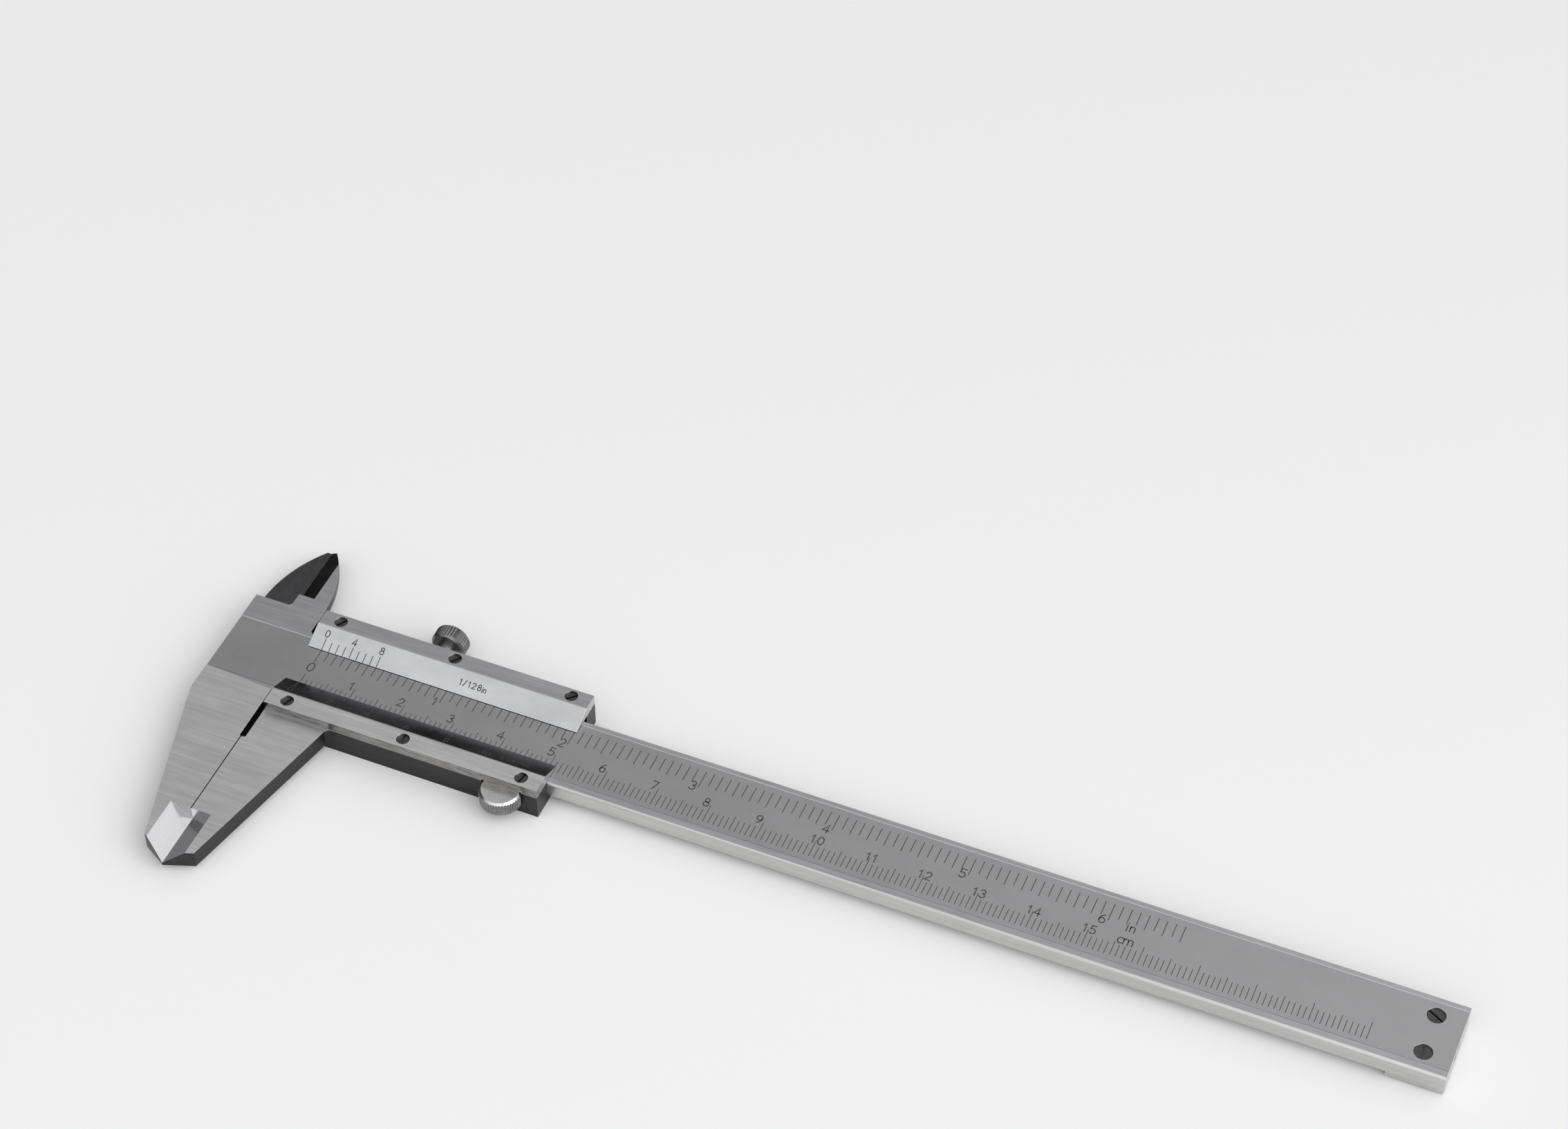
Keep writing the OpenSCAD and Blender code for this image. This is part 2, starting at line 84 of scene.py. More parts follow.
def make_camera():
    data = bpy.data.cameras.new("camera")
    data.sensor_width = 36.0
    data.lens = CAMERA_LENS
    data.clip_start = 0.02
    data.clip_end = 20.0
    camera = bpy.data.objects.new("camera", data)
    camera.location = CAMERA_AT
    camera.rotation_euler = Vector(CAMERA_LOOKS).to_track_quat("-Z", "Y").to_euler()
    bpy.context.scene.collection.objects.link(camera)
    bpy.context.scene.camera = camera


# ---------------------------------------------------------------- node helpers
NOISE_LOW = 0.3
NOISE_HIGH = 0.7


def add(tree, kind, inputs=None, **settings):
    """Adds a node. inputs maps a socket's name or number to a value or an output socket."""
    node = tree.nodes.new(kind)
    for name, value in settings.items():
        setattr(node, name, value)
    for name, value in (inputs or {}).items():
        socket = node.inputs[name]
        if isinstance(value, bpy.types.NodeSocket):
            tree.links.new(value, socket)
        else:
            socket.default_value = value
    return node


def new_material(name):
    material = bpy.data.materials.new(name)
    material.use_nodes = True
    material.node_tree.nodes.clear()
    return material


def object_mm(tree, stretch=(1, 1, 1)):
    """Object coordinates in millimetres, scaled by stretch."""
    coords = add(tree, "ShaderNodeTexCoord").outputs["Object"]
    return add(tree, "ShaderNodeMapping", {
        "Vector": coords, "Scale": tuple(s / MM for s in stretch)}).outputs["Vector"]


def noise(tree, stretch, detail, roughness):
    """A noise over the object. stretch is how many features fit in a millimetre."""
    return noise_at(tree, object_mm(tree, stretch), detail, roughness)


def noise_at(tree, vector, detail, roughness):
    return add(tree, "ShaderNodeTexNoise", {
        "Vector": vector, "Scale": 1.0, "Detail": detail,
        "Roughness": roughness}).outputs["Fac"]


def spread(tree, value, low, high):
    """Turns a noise's usual span of values into low to high."""
    return add(tree, "ShaderNodeMapRange", {
        "Value": value, "From Min": NOISE_LOW, "From Max": NOISE_HIGH,
        "To Min": low, "To Max": high}).outputs["Result"]


def math_node(tree, operation, a, b):
    return add(tree, "ShaderNodeMath", {0: a, 1: b}, operation=operation).outputs[0]


def add_up(tree, a, b):
    return math_node(tree, "ADD", a, b)


def vector_math(tree, operation, a, b):
    return add(tree, "ShaderNodeVectorMath", {0: a, 1: b}, operation=operation).outputs


def tint(tree, shade, color):
    """The colour multiplied by a shade that varies over the surface."""
    mix = add(tree, "ShaderNodeVectorMath", {0: color, "Scale": shade}, operation="SCALE")
    return mix.outputs["Vector"]


def bump(tree, height, depth):
    """A bump from a height between 0 and 1, with its depth in millimetres."""
    return add(tree, "ShaderNodeBump", {
        "Height": height, "Strength": 1.0, "Distance": depth * MM}).outputs["Normal"]


def shade_with(tree, inputs):
    """Ends a material with a Principled shader that has these inputs."""
    shader = add(tree, "ShaderNodeBsdfPrincipled", inputs)
    add(tree, "ShaderNodeOutputMaterial", {"Surface": shader.outputs["BSDF"]})
    return shader


# ---------------------------------------------------------------- metals
FINE_SHARE = 0.65
BROAD_SHARE = 0.35
BROADER = 5  # how much wider the broad grinding lines are than the fine ones
CLOUD = (0.09, 0.16, 0.16)  # stretch of the slow changes in shade
SPECK = (7, 7, 7)  # stretch of a blasted surface's grain
SMUDGE = 0.03  # how much clouds and grain change the shade


def metal(name, color, roughness, lines, depth, uneven, anisotropic=0.0, grain=0.0):
    """A ground or satin metal.

    lines: stretch of the grinding lines along x, y and z, per millimetre.
    depth: depth of the lines in millimetres.  uneven: how much the lines vary in shade.
    grain: height of a blasted surface's specks beside the lines.
    """
    material = new_material(name)
    tree = material.node_tree
    fine = noise(tree, lines, 4.0, 0.7)
    broad = noise(tree, tuple(s / BROADER for s in lines), 3.0, 0.6)
    clouds = noise(tree, CLOUD, 3.0, 0.55)
    streak = add_up(tree, math_node(tree, "MULTIPLY", fine, FINE_SHARE),
                    math_node(tree, "MULTIPLY", broad, BROAD_SHARE))
    shade = add_up(tree, spread(tree, streak, 1 - uneven, 1 + uneven),
                   spread(tree, clouds, -SMUDGE, SMUDGE))
    height = streak
    if grain:
        speck = noise(tree, SPECK, 2.0, 0.7)
        height = add_up(tree, math_node(tree, "MULTIPLY", speck, grain), streak)
        shade = add_up(tree, shade, spread(tree, speck, -SMUDGE, SMUDGE))
    rough = add_up(tree, spread(tree, streak, roughness * 0.85, roughness * 1.15),
                   spread(tree, clouds, -0.04, 0.05))
    shader = shade_with(tree, {
        "Base Color": tint(tree, shade, color), "Metallic": 1.0, "Roughness": rough,
        "Normal": bump(tree, height, depth), "Anisotropic": anisotropic})
    if anisotropic:
        along = add(tree, "ShaderNodeCombineXYZ", {"X": 1.0, "Y": 0.0, "Z": 0.0})
        tree.links.new(along.outputs["Vector"], shader.inputs["Tangent"])
    return material


def turned_metal(name, color, roughness, centre, axis, pitch, depth, uneven):
    """Steel turned in a lathe.

    centre and axis: the rings run round a line through centre, along axis 0, 1 or 2.
    pitch: distance between rings.  depth: their depth.  Both are in millimetres.
    """
    material = new_material(name)
    tree = material.node_tree
    flat = tuple(0.0 if i == axis else 1.0 for i in range(3))
    middle = tuple(place(*centre) / MM)
    offset = vector_math(tree, "SUBTRACT", object_mm(tree), middle)["Vector"]
    across = vector_math(tree, "MULTIPLY", offset, flat)["Vector"]
    radius = add(tree, "ShaderNodeVectorMath", {0: across}, operation="LENGTH").outputs["Value"]
    turns = add(tree, "ShaderNodeCombineXYZ", {"X": math_node(tree, "DIVIDE", radius, pitch)})
    rings = noise_at(tree, turns.outputs["Vector"], 2.0, 0.6)
    cloud = noise(tree, (0.7, 0.7, 0.7), 3.0, 0.6)
    shade = add_up(tree, spread(tree, rings, 1 - uneven, 1 + uneven),
                   spread(tree, cloud, -uneven, uneven))
    shade_with(tree, {
        "Base Color": tint(tree, shade, color), "Metallic": 1.0,
        "Roughness": spread(tree, cloud, roughness * 0.8, roughness * 1.25),
        "Normal": bump(tree, rings, depth)})
    return material


def ink_material():
    material = new_material("scale_ink")
    tree = material.node_tree
    speck = noise(tree, (4, 4, 4), 3.0, 0.7)
    shade_with(tree, {
        "Base Color": tint(tree, spread(tree, speck, 0.6, 1.4), (0.055, 0.055, 0.057)),
        "Metallic": 0.0, "Roughness": spread(tree, speck, 0.45, 0.7)})
    return material


# Directions of the grinding lines, as stretches
ALONG_X = (0.09, 9, 9)
COARSE_X = (0.12, 6, 6)
ALONG_Y = (9, 0.09, 9)
KNIFE = (9, 0.5, 9)
EVEN = (3, 3, 3)
THUMB_CENTRE = (47.9, -12.0, 0.0)
KNOB_CENTRE = (23.6, 15.4, -1.75)
Y_AXIS = 1
Z_AXIS = 2

# One brushed steel in two copies: the lighter one, on the lower half of each piece, is painted
# light
brushed = metal("brushed_front", (0.53, 0.53, 0.55), 0.34, COARSE_X, 0.03, 0.22, 0.4)
jaws = metal("brushed_lower_painted_light", (0.74, 0.74, 0.75), 0.34, COARSE_X, 0.03, 0.20, 0.4)
satin = metal("satin_scale_face", (0.47, 0.47, 0.48), 0.33, EVEN, 0.003, 0.03, grain=1.0)
rail = metal("ground_edges", (0.60, 0.595, 0.59), 0.30, ALONG_X, 0.006, 0.08)
side = metal("ground_sides", (0.56, 0.56, 0.555), 0.30, ALONG_X, 0.006, 0.12)
# Painted shade: near-black steel on the sides of the head and slider and on the seam's chamfers
# stands in for shade and dark reflections
painted_shade_sides = metal("slider_sides_painted_shade", (0.05, 0.05, 0.052), 0.32, ALONG_X, 0.006, 0.3)
# Partly a stain at the corner, mostly painted reflection: dark, strongly speckled steel stands
# in for a dark speckled surround seen in the plates' front sides
stain_and_painted_reflection = metal("plate_side_stain_and_painted_reflection", (0.26, 0.255, 0.25), 0.26, (0.35, 2, 2), 0.01, 0.75)
groove = metal("recess_walls", (0.46, 0.46, 0.46), 0.26, ALONG_X, 0.004, 0.08)
facet = metal("knife_facets", (0.62, 0.62, 0.63), 0.22, KNIFE, 0.004, 0.06)
# Painted shade: a darker copy of the knife facets' steel for the facets turned away from the
# light
painted_shade_facet = metal("knife_facets_painted_shade", (0.33, 0.33, 0.34), 0.14, KNIFE, 0.004, 0.10)
# Painted shade: near-black steel for the inside jaws' slopes and faces and the moving inside
# jaw's sunken front, standing in for shade and dark reflections
inside_jaw_painted_shade = metal("inside_jaw_slopes_painted_shade", (0.11, 0.11, 0.115), 0.20, (1.5, 0.5, 3), 0.004, 0.25)
inside_jaw_face_painted_shade = metal("inside_jaw_faces_painted_shade", (0.10, 0.10, 0.10), 0.2, ALONG_Y, 0.004, 0.10)
# Lit and shaded copies of one satin plate steel: the inch plate's slant is painted light, the
# metric plate's slant painted shade
plate = metal("satin_plate_slant_painted_light", (0.86, 0.87, 0.89), 0.20, EVEN, 0.002, 0.02, grain=1.0)
dark_painted_slant = metal("satin_lower_slant_painted_shade", (0.24, 0.24, 0.25), 0.16, EVEN, 0.0005, 0.03, grain=1.0)
# Painted highlight: screw seat walls brighter than the steel around them, for bright crescents
# at their rims
seat_painted_highlight = metal("screw_seats_painted_highlight", (0.85, 0.85, 0.85), 0.18, EVEN, 0.002, 0.05)
dark = metal("black_screws", (0.10, 0.10, 0.10), 0.34, (2, 5, 5), 0.01, 0.3)
brass = metal("gib_brass", (0.72, 0.52, 0.24), 0.30, ALONG_X, 0.006, 0.1)
rod = metal("drawn_rod", (0.60, 0.60, 0.60), 0.25, ALONG_X, 0.004, 0.08)
thumb = turned_metal("turned_thumb_rest", (0.70, 0.70, 0.70), 0.26, THUMB_CENTRE, Z_AXIS,
                     pitch=0.18, depth=0.004, uneven=0.08)
# Painted shade: a dark copy of the turned steel for the lock screw and the thumb rest's knurled
# rim, standing in for dark reflections
turned_painted_shade = turned_metal("turned_lock_screw_painted_shade", (0.24, 0.24, 0.245), 0.30, KNOB_CENTRE, Y_AXIS,
                    pitch=0.2, depth=0.004, uneven=0.2)
ink = ink_material()


# ---------------------------------------------------------------- finishes on the CAD nodes
def finish_faces(node, materials, pick):
    """Gives each face the finish that pick(centre, normal) names, in the measuring frame."""
    mesh = NODES[node].data
    mesh.materials.clear()
    for material in materials:
        mesh.materials.append(material)
    for face in mesh.polygons:
        face.material_index = materials.index(pick((face.center - ORIGIN) / MM, face.normal))


# Where one finish ends and another begins, in the measuring frame
JAW_TOP_Y = -8  # the fixed jaw's front face is below this
SEAM_TOP_Y = -15  # the outside jaws meet below this
SEAM_HALF = 0.3  # half the seam's width, with room to spare
KNIFE_TOP_Y = -37.2  # the knife edges are hollowed below this
KNIFE_HALF = 4  # half the hollow's width
INSIDE_JAW_Y = 8  # the inside jaws stand above this
INSIDE_JAW_BACK_Y = 12.4
TAIL_X = 210  # the end stop screws lie beyond this
SEAT_Y = (9, 11.7)  # the vernier plates' screw seats lie between these
STRAIGHT = 0.999  # a normal with more than this along an axis lies on it
NEARLY = 0.95
MOSTLY = 0.9
SLANTING = 0.5
LEANING = 0.2


def is_slope(normal):
    """Whether a face slopes up to the left or the right."""
    return abs(normal.x) > LEANING and normal.z > LEANING


def is_seam(centre):
    """Whether a face is on the narrow chamfers where the closed outside jaws meet."""
    return KNIFE_TOP_Y < centre.y < SEAM_TOP_Y and abs(centre.x) < SEAM_HALF


def is_knife_end(centre, normal):
    """Whether a face is the upright end of the hollow over the knife edges."""
    at_end = abs(centre.y - KNIFE_TOP_Y) < 0.1 and abs(centre.x) < KNIFE_HALF
    return at_end and abs(normal.y) > MOSTLY


def is_beam_seat(centre, normal):
    """Whether a face is the wall of a screw seat in the beam's tail."""
    upright = abs(normal.z) < LEANING and max(normal.x, abs(normal.y)) < NEARLY
    return upright and centre.x > TAIL_X


def is_plate_seat(centre, normal):
    """Whether a face is the wall of a screw seat in a vernier plate."""
    upright = abs(normal.z) < 0.1 and abs(normal.x) < STRAIGHT
    return upright and centre.z > 0.3 and SEAT_Y[0] < abs(centre.y) < SEAT_Y[1]


def is_plate_edge(centre, normal):
    """Whether a face is a vernier plate's thin edge beside the scale."""
    return centre.z < 0.25 and abs(centre.y) < 5 and abs(normal.y) > MOSTLY


def is_low_front(centre):
    """Whether a face that looks straight up is the moving inside jaw's thinned front."""
    return centre.y > INSIDE_JAW_Y and centre.x < 0.8 and centre.z < -1


def beam_finish(centre, normal):
    if normal.z > STRAIGHT:
        if abs(centre.z - SCALE_Z) < 0.02:
            return satin
        # the lower half gets the painted-light copy
        return jaws if centre.y < JAW_TOP_Y else brushed
    if is_slope(normal):
        if is_seam(centre):
            # the seam's chamfers get painted shade, a dark line where the closed jaws meet
            return painted_shade_sides
        # the inside jaw's slopes get painted shade
        return facet if centre.y < 0 else inside_jaw_painted_shade
    if is_knife_end(centre, normal):
        # the upright end of the knife hollow gets the painted-shade facet
        return painted_shade_facet
    if abs(normal.y) > SLANTING and abs(normal.z) > SLANTING:
        return groove if centre.z > 1.2 * SCALE_Z else rail
    if is_beam_seat(centre, normal):
        # the tail's screw seats get the painted highlight
        return seat_painted_highlight
    # the head's sides get painted shade
    return painted_shade_sides if centre.x < HEAD_BACK and normal.z > -MOSTLY else side


def slider_finish(centre, normal):
    if normal.z > STRAIGHT:
        if is_low_front(centre):
            # the sunken front gets painted shade
            return inside_jaw_painted_shade
        # the lower half gets the painted-light copy
        return jaws if centre.y < 0 else brushed
    if is_slope(normal):
        if is_seam(centre):
            # the seam's chamfers get painted shade
            return painted_shade_sides
        # the moving jaw's knife slopes get the painted-shade facet
        return painted_shade_facet if centre.y < 0 else inside_jaw_painted_shade
    if is_knife_end(centre, normal):
        return facet
    if centre.y > INSIDE_JAW_BACK_Y and normal.x < -MOSTLY:
        # the inside jaw's face gets painted shade
        return inside_jaw_face_painted_shade
    # the other sides, facing the front or the ends, get painted shade
    return side if normal.z < -MOSTLY or normal.y > MOSTLY else painted_shade_sides


def plate_finish(centre, normal):
    lower = centre.y < 0
    if normal.z > STRAIGHT:
        # the lower plate's band gets the painted-light copy
        return jaws if lower else brushed
    if normal.z > NEARLY:
        return rail
    if normal.z > SLANTING:
        # the metric slant gets painted shade, the inch slant painted light
        return dark_painted_slant if lower else plate
    if is_plate_edge(centre, normal):
        # the thin edge gets the painted-light slant steel, which hides the shade line beside the
        # scale
        return plate
    if is_plate_seat(centre, normal):
        # the plates' screw seats get the painted highlight
        return seat_painted_highlight
    # the plates' front sides get the stain and painted reflection
    return stain_and_painted_reflection if normal.y < -MOSTLY else side


def thumb_finish(centre, normal):
    # the knurled rim gets the painted-shade turned steel
    return thumb if normal.z > 0.3 else turned_painted_shade


BEAM_FINISHES = [brushed, jaws, satin, rail, groove, side, painted_shade_sides, facet, painted_shade_facet, inside_jaw_painted_shade, seat_painted_highlight]
SLIDER_FINISHES = [brushed, jaws, side, painted_shade_sides, facet, painted_shade_facet, inside_jaw_painted_shade, inside_jaw_face_painted_shade]
PLATE_FINISHES = [brushed, jaws, rail, plate, dark_painted_slant, seat_painted_highlight, stain_and_painted_reflection, side]
finish_faces("beam", BEAM_FINISHES, beam_finish)
finish_faces("slider_body", SLIDER_FINISHES, slider_finish)
finish_faces("inch_vernier_plate", PLATE_FINISHES, plate_finish)
finish_faces("metric_vernier_plate", PLATE_FINISHES, plate_finish)
finish_faces("thumb_rest", [thumb, turned_painted_shade], thumb_finish)
PLAIN_FINISHES = {
    "inch_plate_screws": dark, "metric_plate_screws": dark, "end_stop_screws": dark,
    "gib_set_screws": dark, "gib_strip": brass, "lock_screw": turned_painted_shade,
    "depth_rod": rod, "depth_rod_rivets": rod, "end_stop_plate": side,
}
for node_name, finish in PLAIN_FINISHES.items():
    finish_faces(node_name, [finish], lambda centre, normal, finish=finish: finish)


WELD_REACH = 0.001 * MM
SHARP_ANGLE = 30  # edges that turn by more degrees than this are rounded


def soften_edges(node, width):
    """Takes the sharpness off a node's edges, as deburring does. width is in millimetres."""
    piece = NODES[node]
    weld = piece.modifiers.new("weld", "WELD")
    weld.merge_threshold = WELD_REACH
    bevel = piece.modifiers.new("deburred_edges", "BEVEL")
    bevel.width = width * MM
    bevel.segments = 2
    bevel.limit_method = "ANGLE"
    bevel.angle_limit = math.radians(SHARP_ANGLE)
    bevel.use_clamp_overlap = False
    bevel.harden_normals = True


DEBURRED = {"beam": 0.04, "inch_vernier_plate": 0.03, "metric_vernier_plate": 0.03}
for node_name, edge_width in DEBURRED.items():
    soften_edges(node_name, edge_width)


# ---------------------------------------------------------------- marks
class Face:
    """A flat face that marks are drawn on: u runs along the beam, v up the face."""

    def __init__(self, origin, up):
        self.origin = Vector(origin)
        self.up = Vector(up).normalized()
        self.out = Vector((1, 0, 0)).cross(self.up)

    def point(self, u, v, height):
        local = self.origin + Vector((u, 0, 0)) + self.up * v + self.out * height
        return place(*local)


INK_TOP = 0.012  # above the face
INK_FOOT = -0.03  # sunk into the face
CAP_ANGLES = (15, 40, 65)  # where a round end is cut into sections
SHARPEST = 0.5  # keeps a stroke's corner from reaching far out


class Marks:
    """Collects strokes on one face and makes them into one piece."""

    def __init__(self, face):
        self.face = face
        self.points = []
        self.quads = []

    def ribbon(self, sections, closed=False):
        """A closed solid through sections, each a (left, right) pair of (u, v) points."""
        first, n = len(self.points), len(sections)
        for left, right in sections:
            self.points += [
                self.face.point(*left, INK_FOOT), self.face.point(*right, INK_FOOT),
                self.face.point(*right, INK_TOP), self.face.point(*left, INK_TOP)]
        for i in range(n if closed else n - 1):
            a, b = first + 4 * i, first + 4 * ((i + 1) % n)
            for k in range(4):
                j = (k + 1) % 4
                self.quads.append([a + k, b + k, b + j, a + j])
        if not closed:
            last = first + 4 * (n - 1)
            self.quads.append([first, first + 1, first + 2, first + 3])
            self.quads.append([last + 3, last + 2, last + 1, last])

    def tick(self, u, v0, v1, width):
        half = width / 2
        self.ribbon([((u - half, v0), (u + half, v0)), ((u - half, v1), (u + half, v1))])

    def stroke(self, path, width, closed=False):
        """A ribbon of even width along a path, with round ends unless it is closed."""
        half = width / 2
        path = [Vector(p) for p in path]
        steps = [(b - a).normalized() for a, b in zip(path, path[1:] + path[:1])]
        if closed:
            arrivals = steps[-1:] + steps[:-1]
        else:
            steps[-1] = steps[-2]
            arrivals = steps[:1] + steps[:-1]
        sections = []
        for point, arrive, leave in zip(path, arrivals, steps):
            along = (arrive + leave).normalized()
            across = Vector((-along.y, along.x))
            reach = half / max(SHARPEST, along.dot(leave))
            sections.append((point + across * reach, point - across * reach))
        if not closed:
            start = self.round_end(sections[0], -steps[0] * half)
            end = self.round_end(sections[-1], steps[-1] * half)
            sections = start[::-1] + sections + end
        self.ribbon(sections, closed)

    def round_end(self, section, outward):
        """Narrowing sections that round off an end; outward points half a width past it."""
        left, right = section
        centre = (left + right) / 2
        ends = []
        for angle in CAP_ANGLES:
            narrow = math.cos(math.radians(angle))
            tip = centre + outward * math.sin(math.radians(angle))
            ends.append((tip + (left - centre) * narrow, tip + (right - centre) * narrow))
        return ends

    def text(self, words, u, v, height, width, spacing=0.28):
        """Writes words centred on u, with their feet on v. spacing is a share of the height."""
        total = sum(GLYPHS[w][0] + spacing for w in words) - spacing
        left = u - total * height / 2
        for letter in words:
            advance, strokes = GLYPHS[letter]
            for path, closed in strokes:
                self.stroke([(left + x * height, v + y * height) for x, y in path],
                            width, closed)
            left += (advance + spacing) * height

    def build(self, name, body):
        mesh = bpy.data.meshes.new(name)
        mesh.from_pydata([tuple(p) for p in self.points], [], self.quads)
        mesh.materials.append(ink)
        piece = bpy.data.objects.new(name, mesh)
        bpy.context.scene.collection.objects.link(piece)
        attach(piece, body)


def bow(cx, cy, rx, ry, start, end, steps=12):
    """Points along an ellipse's edge, from a start angle to an end angle in degrees."""
    angles = [math.radians(start + (end - start) * i / steps) for i in range(steps + 1)]
    return [(cx + rx * math.cos(angle), cy + ry * math.sin(angle)) for angle in angles]


def ring(cx, cy, rx, ry):
    """Points round a whole ellipse, for a closed stroke."""
    return bow(cx, cy, rx, ry, 0, 360, 20)[:-1]


# Single-stroke numbers and letters: width, then (path, closed) strokes in a box of height 1
GLYPHS = {
    "0": (0.62, [(ring(0.31, 0.5, 0.3, 0.5), True)]),
    "1": (0.30, [([(0.02, 0.76), (0.24, 1.0), (0.24, 0.0)], False)]),
    "2": (0.60, [(bow(0.3, 0.71, 0.28, 0.29, 165, -40) + [(0.0, 0.0), (0.6, 0.0)], False)]),
    "3": (0.60, [(bow(0.28, 0.76, 0.25, 0.24, 150, -90) + bow(0.28, 0.26, 0.3, 0.26, 90, -150),
                  False)]),
    "4": (0.64, [([(0.46, 0.0), (0.46, 1.0), (0.0, 0.28), (0.64, 0.28)], False)]),
    "5": (0.60, [([(0.54, 1.0), (0.1, 1.0), (0.05, 0.56)]
                  + bow(0.28, 0.31, 0.3, 0.31, 120, -145), False)]),
    "6": (0.60, [(ring(0.3, 0.3, 0.28, 0.3), True),
                 (bow(0.6, 0.34, 0.58, 0.66, 105, 180, 8), False)]),
    "7": (0.58, [([(0.0, 1.0), (0.58, 1.0), (0.2, 0.0)], False)]),
    "8": (0.60, [(ring(0.3, 0.76, 0.23, 0.24), True), (ring(0.3, 0.27, 0.29, 0.27), True)]),
    "9": (0.60, [(ring(0.3, 0.7, 0.28, 0.3), True),
                 (bow(0.0, 0.66, 0.58, 0.66, -75, 0, 8), False)]),
    "/": (0.42, [([(0.0, -0.05), (0.42, 1.05)], False)]),
    ".": (0.06, [([(0.03, 0.0), (0.03, 0.04)], False)]),
    " ": (0.25, []),
    "c": (0.46, [(bow(0.27, 0.33, 0.27, 0.33, 50, 310), False)]),
    "m": (0.84, [([(0.0, 0.66), (0.0, 0.0)], False),
                 (bow(0.21, 0.44, 0.21, 0.22, 180, 0, 8) + [(0.42, 0.0)], False),
                 (bow(0.63, 0.44, 0.21, 0.22, 180, 0, 8) + [(0.84, 0.0)], False)]),
    "i": (0.08, [([(0.04, 0.66), (0.04, 0.0)], False), ([(0.04, 0.9), (0.04, 0.94)], False)]),
    "n": (0.44, [([(0.0, 0.66), (0.0, 0.0)], False),
                 (bow(0.22, 0.44, 0.22, 0.22, 180, 0, 8) + [(0.44, 0.0)], False)]),
}

INCH = 25.4
SIXTEENTH = INCH / 16
SLANT_WIDTH = INCH_BAND_Y - INCH_EDGE_Y
SLANT_RISE = PLATE_TOP_Z - EDGE_TOP_Z
SLANT = math.hypot(SLANT_WIDTH, SLANT_RISE)
SCALE_FACE = Face((SCALE_ZERO, 0, SCALE_Z), (0, 1, 0))
INCH_FACE = Face((SCALE_ZERO, INCH_EDGE_Y, EDGE_TOP_Z), (0, SLANT_WIDTH, SLANT_RISE))
METRIC_FACE = Face((SCALE_ZERO, METRIC_BAND_Y, PLATE_TOP_Z),
                   (0, METRIC_EDGE_Y - METRIC_BAND_Y, -SLANT_RISE))

# Where marks end, in millimetres up the face. A mark takes the entry of the first step that
# divides its number.
METRIC_FOOT = -5.2
METRIC_TOPS = {10: -1.38, 5: -2.0, 1: -2.6}
INCH_TOP = 5.45
INCH_FEET = {16: 1.65, 2: 2.0, 1: 2.5}
INCH_VERNIER_TOPS = {4: 2.2, 1: 1.85}
METRIC_VERNIER_FEET = {2: SLANT - 2.2, 1: SLANT - 1.7}
METRIC_TICK = 0.13
INCH_TICK = 0.15
NUMBER_LINE = 0.22
UNIT_AT = 156.6
WIDE = 0.42  # spacing of numbers with several digits


def pick_end(ends, number):
    return next(end for step, end in ends.items() if number % step == 0)


def metric_scale():
    ticks = Marks(SCALE_FACE)
    for mm in range(201):
        ticks.tick(mm, METRIC_FOOT, pick_end(METRIC_TOPS, mm), METRIC_TICK)
    ticks.build("metric_scale_lines", "fixed_beam")
    numbers = Marks(SCALE_FACE)
    numbers.text("0", 0.1, -0.65, 2.0, NUMBER_LINE)
    for cm in range(1, 10):
        numbers.text(str(cm), cm * 10 - 1.0, -1.8, 1.75, NUMBER_LINE)
    for cm in range(10, 16):
        numbers.text(str(cm), cm * 10 + 0.15, -2.1, 1.7, NUMBER_LINE, WIDE)
    numbers.text("cm", UNIT_AT, -2.15, 1.9, NUMBER_LINE, 0.1)
    numbers.build("metric_scale_numbers", "fixed_beam")


def inch_scale():
    ticks = Marks(SCALE_FACE)
    for n in range(105):
        ticks.tick(n * SIXTEENTH, pick_end(INCH_FEET, n), INCH_TOP, INCH_TICK)
    ticks.build("inch_scale_lines", "fixed_beam")
    numbers = Marks(SCALE_FACE)
    for inch in range(1, 7):
        numbers.text(str(inch), inch * INCH - 1.0, 0.75, 1.85, NUMBER_LINE)
    numbers.text("in", UNIT_AT, 0.75, 1.8, NUMBER_LINE)
    numbers.build("inch_scale_numbers", "fixed_beam")


def inch_vernier():
    """Eight divisions over seven sixteenths of an inch."""
    step = SIXTEENTH * 7 / 8
    ticks = Marks(INCH_FACE)
    for n in range(9):
        ticks.tick(n * step, 0.0, pick_end(INCH_VERNIER_TOPS, n), INCH_TICK)
    ticks.build("inch_vernier_lines", "slider")
    numbers = Marks(INCH_FACE)
    for n in range(0, 9, 4):
        numbers.text(str(n), n * step - 0.1, 2.55, 1.3, 0.19)
    numbers.text("1/128", 29.2, 1.75, 1.1, 0.19, WIDE)
    numbers.text("in", 32.0, 1.6, 1.05, 0.17, 0.2)
    numbers.build("inch_vernier_numbers", "slider")


def metric_vernier():
    """Twenty divisions over 39 mm, numbered in tenths of a millimetre."""
    step = 39 / 20
    ticks = Marks(METRIC_FACE)
    for n in range(21):
        ticks.tick(n * step, pick_end(METRIC_VERNIER_FEET, n), SLANT, METRIC_TICK)
    ticks.build("metric_vernier_lines", "slider")
    numbers = Marks(METRIC_FACE)
    for tenths in range(0, 11, 2):
        numbers.text(str(tenths), tenths * 2 * step, 0.7, 1.4, 0.14)
    numbers.text("0.05 mm", 44.5, 1.2, 1.0, 0.12)
    numbers.build("metric_vernier_numbers", "slider")


metric_scale()
inch_scale()
inch_vernier()
metric_vernier()


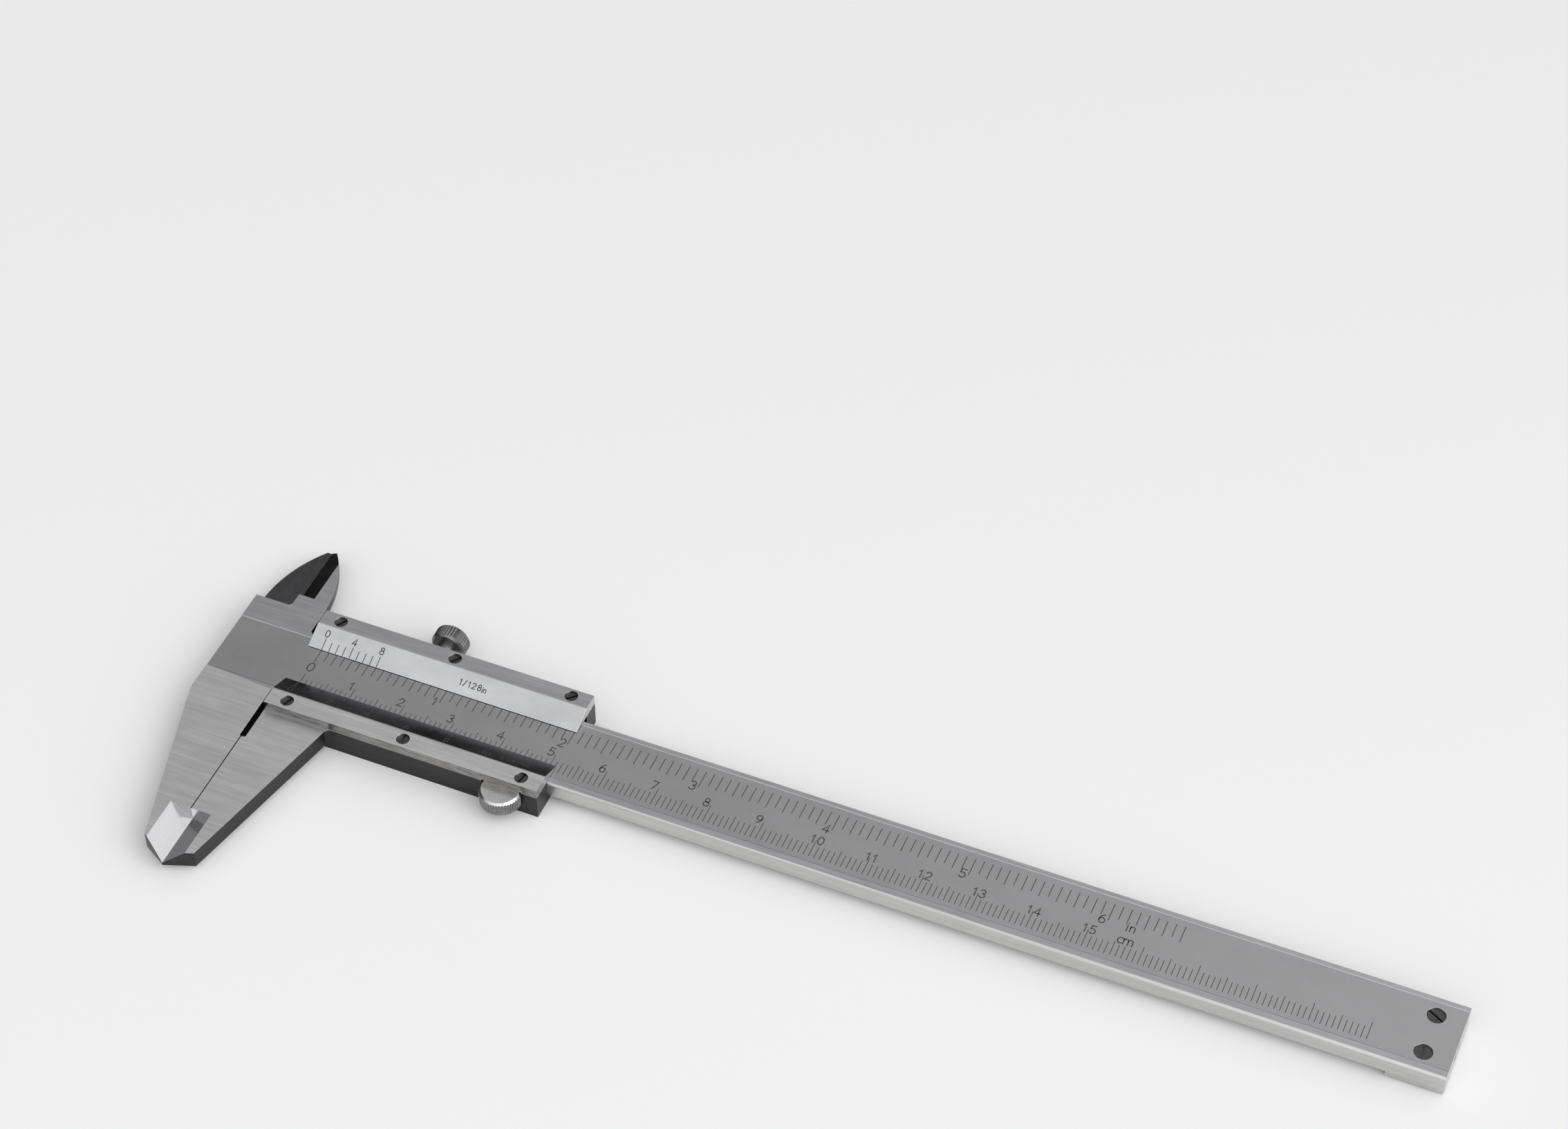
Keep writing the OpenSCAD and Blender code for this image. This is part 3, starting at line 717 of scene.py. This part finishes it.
# ---------------------------------------------------------------- floor, light and world
FLOOR_REACH = 1.6
FLOOR_COLOR = (0.94, 0.94, 0.94, 1.0)
LIGHTS = {
    "front": {"location": (-0.42, -1.0, 0.88), "size": (2.1, 1.6), "power": 5.8},
    "right": {"location": (1.2, -0.35, 0.75), "size": (1.2, 1.2), "power": 6.5},
}
GLOW_TOWARD = (0.75, 0.0, 0.45)  # the world is brightest this way
GLOW_LEVEL = 0.4
GLOW_LEAST = 0.03
HORIZON_SHARE = 0.05  # how much of the glow is left at the horizon
FULL_HEIGHT = 0.45  # and the height at which all of it is there
SEEN_WORLD = (0.86, 0.86, 0.86, 1)


def make_floor():
    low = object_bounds()[0][2]
    reach = FLOOR_REACH
    mesh = bpy.data.meshes.new("floor")
    corners = [(-reach, -reach, low), (reach, -reach, low), (reach, reach, low),
               (-reach, reach, low)]
    mesh.from_pydata(corners, [], [(0, 1, 2, 3)])
    material = new_material("floor")
    shade_with(material.node_tree, {"Base Color": FLOOR_COLOR, "Roughness": 0.8})
    mesh.materials.append(material)
    floor = bpy.data.objects.new("floor", mesh)
    bpy.context.scene.collection.objects.link(floor)


def soft_light(name, location, size, power):
    """A rectangular light aimed at the middle of the row frame."""
    data = bpy.data.lights.new(name, "AREA")
    data.shape = "RECTANGLE"
    data.size, data.size_y = size
    data.energy = power
    light = bpy.data.objects.new(name, data)
    light.location = location
    light.rotation_euler = (-Vector(location)).to_track_quat("-Z", "Y").to_euler()
    bpy.context.scene.collection.objects.link(light)


def make_world():
    """Studio light: bright above and to the right, dim low down, and pale where it is seen."""
    world = bpy.data.worlds.new("studio")
    world.use_nodes = True
    tree = world.node_tree
    tree.nodes.clear()
    direction = add(tree, "ShaderNodeTexCoord").outputs["Generated"]
    slope = vector_math(tree, "DOT_PRODUCT", direction, GLOW_TOWARD)["Value"]
    height = add(tree, "ShaderNodeSeparateXYZ", {"Vector": direction}).outputs["Z"]
    above = add(tree, "ShaderNodeMapRange", {
        "Value": height, "From Min": 0.0, "From Max": FULL_HEIGHT,
        "To Min": HORIZON_SHARE, "To Max": 1.0}, interpolation_type="SMOOTHSTEP")
    glow = math_node(tree, "MULTIPLY", add_up(tree, slope, GLOW_LEVEL), above.outputs["Result"])
    glow = math_node(tree, "MAXIMUM", glow, GLOW_LEAST)
    light = add(tree, "ShaderNodeBackground", {"Color": (1, 1, 1, 1), "Strength": glow})
    seen = add(tree, "ShaderNodeBackground", {"Color": SEEN_WORLD, "Strength": 1.0})
    path = add(tree, "ShaderNodeLightPath").outputs["Is Camera Ray"]
    mix = add(tree, "ShaderNodeMixShader", {
        0: path, 1: light.outputs["Background"], 2: seen.outputs["Background"]})
    add(tree, "ShaderNodeOutputWorld", {"Surface": mix.outputs["Shader"]})
    bpy.context.scene.world = world


make_camera()
make_floor()
make_world()
for light_name, settings in LIGHTS.items():
    soft_light(light_name, **settings)
bpy.context.scene.view_settings.view_transform = "Standard"
